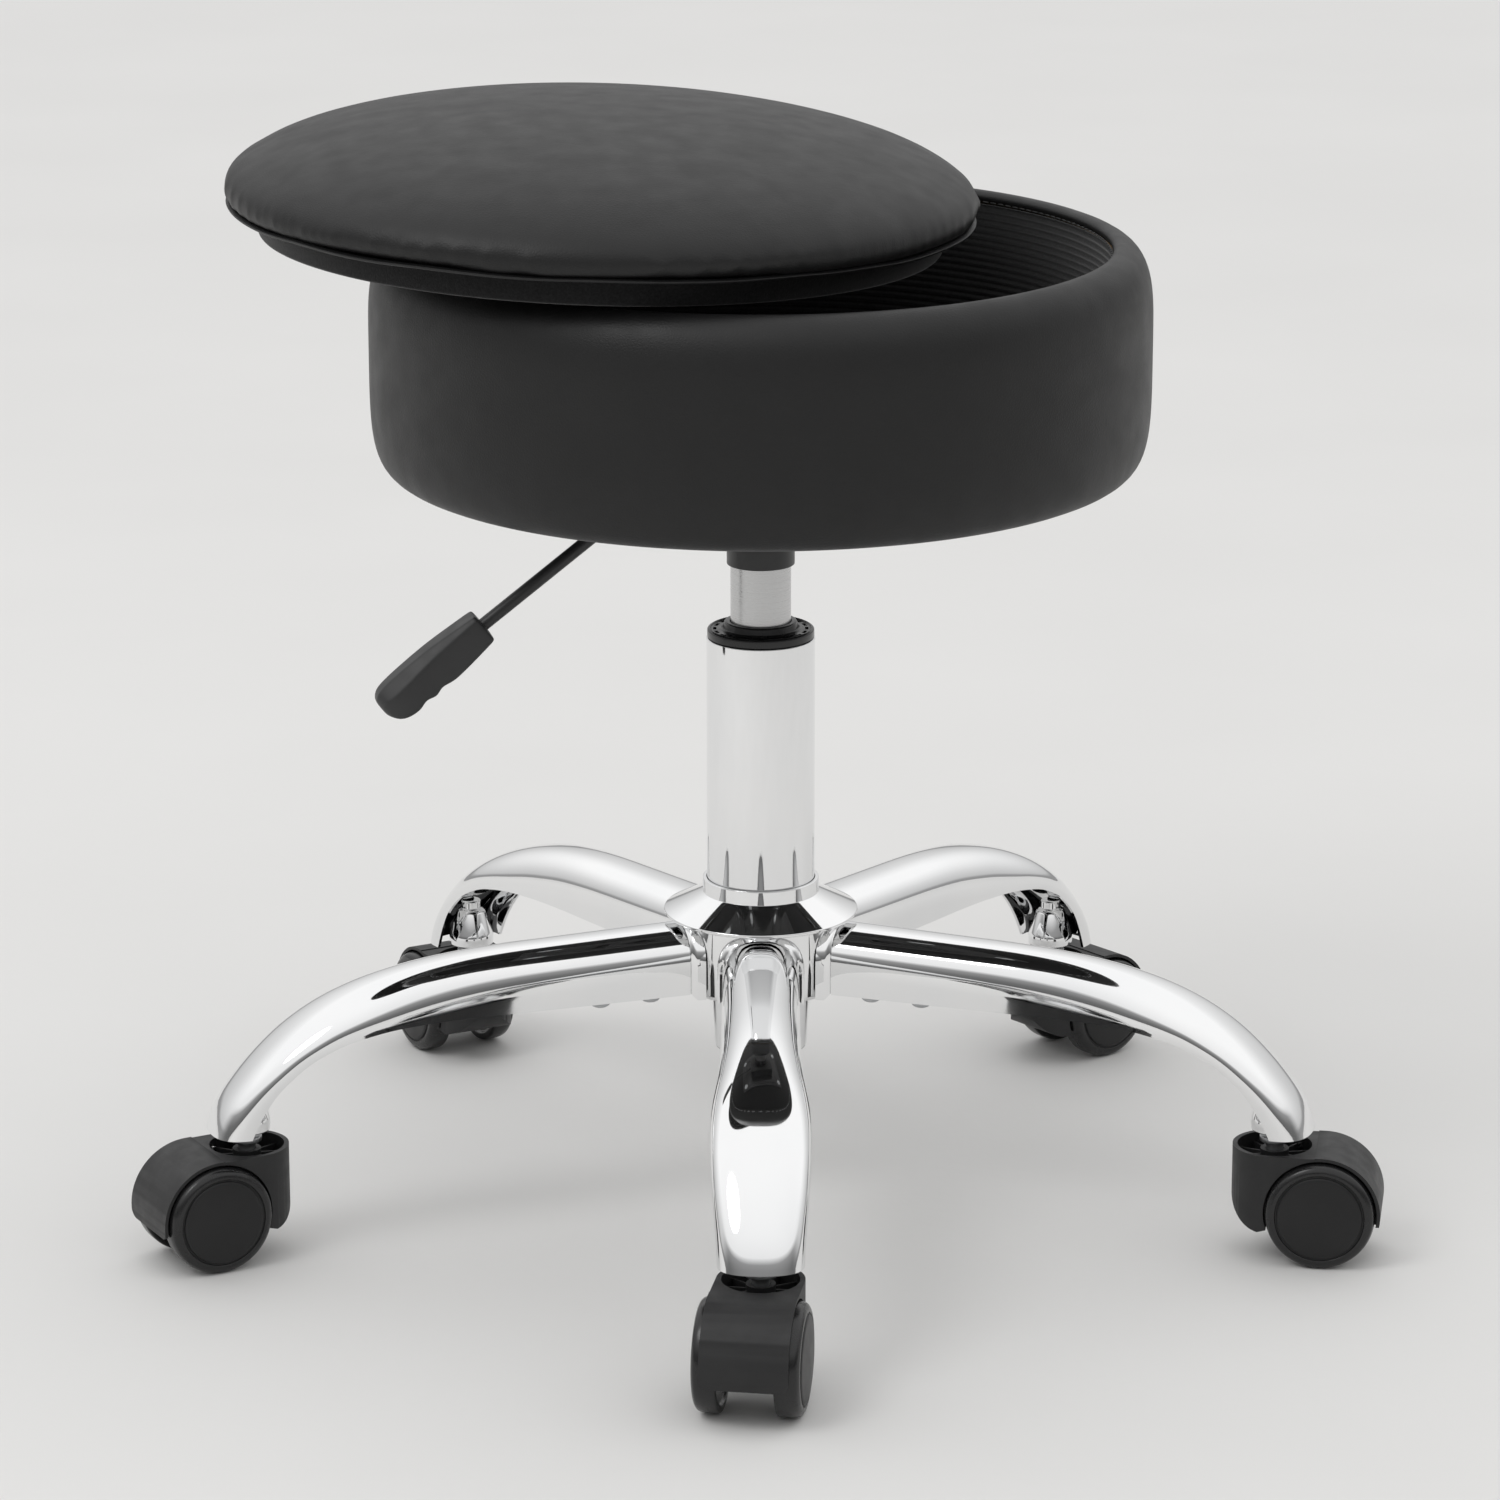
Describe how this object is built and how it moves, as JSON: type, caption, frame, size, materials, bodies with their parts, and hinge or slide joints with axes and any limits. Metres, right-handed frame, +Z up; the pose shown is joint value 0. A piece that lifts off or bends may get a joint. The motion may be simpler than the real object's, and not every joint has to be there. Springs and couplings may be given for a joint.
{
  "type": "rolling stylist stool",
  "caption": "Height-adjustable rolling stool: round padded storage seat with a lift-off lid, gas-lift column and a star base on twin-wheel casters.",
  "frame": {"origin": "on the floor, under the middle of the stool's overall box; the column axis stands 23.3 mm behind it, at Y = +0.0233 m", "axes": "+Z up; -Y towards the front leg; the release lever points to -X and the loose lid is shifted towards -X"},
  "size_m": [0.5744, 0.5515, 0.5186],
  "materials": {
    "chrome": "mirror chrome plate",
    "satin_steel": "satin",
    "black_steel": "black powder coat",
    "nylon": "fine moulded grain",
    "wheel_plastic": "gloss",
    "leather": "fine-grained synthetic leather, soft sheen",
    "lining_fabric": "ribbed non-woven",
    "plywood": "raw birch plywood"
  },
  "bodies": {
    "base": {"hub": "chrome", "hub_cover": "chrome", "column_tube": "chrome", "guide_bush": "nylon", "thrust_bearing": "satin_steel", "leg_1": "chrome", "leg_2": "chrome", "leg_3": "chrome", "leg_4": "chrome", "leg_5": "chrome", "caster_socket_1": "chrome", "caster_socket_2": "chrome", "caster_socket_3": "chrome", "caster_socket_4": "chrome", "caster_socket_5": "chrome"},
    "lift_rod": {"piston_rod": "satin_steel", "retaining_clip": "satin_steel"},
    "seat": {"gas_cylinder": "satin_steel", "seat_plate": "black_steel", "taper_socket": "black_steel", "plate_bolt_1": "satin_steel", "plate_bolt_2": "satin_steel", "plate_bolt_3": "satin_steel", "plate_bolt_4": "satin_steel", "box_base": "plywood", "box_wall": "plywood", "box_cover": "leather", "box_lining": "lining_fabric"},
    "lever": {"lever_rod": "black_steel", "lever_grip": "nylon"},
    "button": {"release_button": "satin_steel"},
    "lid": {"lid_cushion": "leather", "lid_board": "plywood", "lid_plug": "lining_fabric"},
    "caster_1": {"caster_1_hood": "nylon", "caster_1_stem": "satin_steel", "caster_1_axle": "satin_steel"},
    "wheel_1_left": {"caster_1_wheel_left": "wheel_plastic"},
    "wheel_1_right": {"caster_1_wheel_right": "wheel_plastic"},
    "caster_2": {"caster_2_hood": "nylon", "caster_2_stem": "satin_steel", "caster_2_axle": "satin_steel"},
    "wheel_2_left": {"caster_2_wheel_left": "wheel_plastic"},
    "wheel_2_right": {"caster_2_wheel_right": "wheel_plastic"},
    "caster_3": {"caster_3_hood": "nylon", "caster_3_stem": "satin_steel", "caster_3_axle": "satin_steel"},
    "wheel_3_left": {"caster_3_wheel_left": "wheel_plastic"},
    "wheel_3_right": {"caster_3_wheel_right": "wheel_plastic"},
    "caster_4": {"caster_4_hood": "nylon", "caster_4_stem": "satin_steel", "caster_4_axle": "satin_steel"},
    "wheel_4_left": {"caster_4_wheel_left": "wheel_plastic"},
    "wheel_4_right": {"caster_4_wheel_right": "wheel_plastic"},
    "caster_5": {"caster_5_hood": "nylon", "caster_5_stem": "satin_steel", "caster_5_axle": "satin_steel"},
    "wheel_5_left": {"caster_5_wheel_left": "wheel_plastic"},
    "wheel_5_right": {"caster_5_wheel_right": "wheel_plastic"}
  },
  "joints": [
    {"name": "seat_swivel", "type": "hinge", "parent": "base", "child": "lift_rod", "pos_m": [0, 0.0233, 0.08], "axis": [0, 0, 1], "continuous": true},
    {"name": "height_slide", "type": "slide", "parent": "lift_rod", "child": "seat", "axis": [0, 0, 1], "range_m": [0, 0.12]},
    {"name": "lever_pull", "type": "hinge", "parent": "seat", "child": "lever", "pos_m": [-0.03203, 0.01649, 0.3387], "axis": [-0.2079, 0.9781, 0], "range_deg": [0, 6], "stiffness_Nm_per_rad": 0.5, "springref_deg": -5.73},
    {"name": "button_press", "type": "slide", "parent": "seat", "child": "button", "axis": [0, 0, -1], "range_m": [0, 0.0039], "stiffness_N_per_m": 200, "springref_m": -0.002},
    {"name": "lid_lift", "type": "slide", "parent": "seat", "child": "lid", "axis": [0, 0, 1], "range_m": [0, 0.2]},
    {"name": "caster_1_swivel", "type": "hinge", "parent": "base", "child": "caster_1", "pos_m": [0, -0.2237, 0.06], "axis": [0, 0, 1], "continuous": true},
    {"name": "wheel_1_left_roll", "type": "hinge", "parent": "caster_1", "child": "wheel_1_left", "pos_m": [-0.0034, -0.24564, 0.025], "axis": [0.9882, -0.153, 0], "continuous": true},
    {"name": "wheel_1_right_roll", "type": "hinge", "parent": "caster_1", "child": "wheel_1_right", "pos_m": [-0.0034, -0.24564, 0.025], "axis": [0.9882, -0.153, 0], "continuous": true},
    {"name": "caster_2_swivel", "type": "hinge", "parent": "base", "child": "caster_2", "pos_m": [0.23491, -0.05303, 0.06], "axis": [0, 0, 1], "continuous": true},
    {"name": "wheel_2_left_roll", "type": "hinge", "parent": "caster_2", "child": "wheel_2_left", "pos_m": [0.25687, -0.05627, 0.025], "axis": [0.1461, 0.9893, 0], "continuous": true},
    {"name": "wheel_2_right_roll", "type": "hinge", "parent": "caster_2", "child": "wheel_2_right", "pos_m": [0.25687, -0.05627, 0.025], "axis": [0.1461, 0.9893, 0], "continuous": true},
    {"name": "caster_3_swivel", "type": "hinge", "parent": "base", "child": "caster_3", "pos_m": [0.14518, 0.22313, 0.06], "axis": [0, 0, 1], "continuous": true},
    {"name": "wheel_3_left_roll", "type": "hinge", "parent": "caster_3", "child": "wheel_3_left", "pos_m": [0.16206, 0.23755, 0.025], "axis": [-0.6494, 0.7604, 0], "continuous": true},
    {"name": "wheel_3_right_roll", "type": "hinge", "parent": "caster_3", "child": "wheel_3_right", "pos_m": [0.16206, 0.23755, 0.025], "axis": [-0.6494, 0.7604, 0], "continuous": true},
    {"name": "caster_4_swivel", "type": "hinge", "parent": "base", "child": "caster_4", "pos_m": [-0.14518, 0.22313, 0.06], "axis": [0, 0, 1], "continuous": true},
    {"name": "wheel_4_left_roll", "type": "hinge", "parent": "caster_4", "child": "wheel_4_left", "pos_m": [-0.15567, 0.24269, 0.025], "axis": [-0.8813, -0.4726, 0], "continuous": true},
    {"name": "wheel_4_right_roll", "type": "hinge", "parent": "caster_4", "child": "wheel_4_right", "pos_m": [-0.15567, 0.24269, 0.025], "axis": [-0.8813, -0.4726, 0], "continuous": true},
    {"name": "caster_5_swivel", "type": "hinge", "parent": "base", "child": "caster_5", "pos_m": [-0.23491, -0.05303, 0.06], "axis": [0, 0, 1], "continuous": true},
    {"name": "wheel_5_left_roll", "type": "hinge", "parent": "caster_5", "child": "wheel_5_left", "pos_m": [-0.25433, -0.06379, 0.025], "axis": [0.4848, -0.8746, 0], "continuous": true},
    {"name": "wheel_5_right_roll", "type": "hinge", "parent": "caster_5", "child": "wheel_5_right", "pos_m": [-0.25433, -0.06379, 0.025], "axis": [0.4848, -0.8746, 0], "continuous": true}
  ],
  "couplings": [
    {"joint": "button_press", "follows": "lever_pull", "m_per_rad": 0.0368}
  ]
}
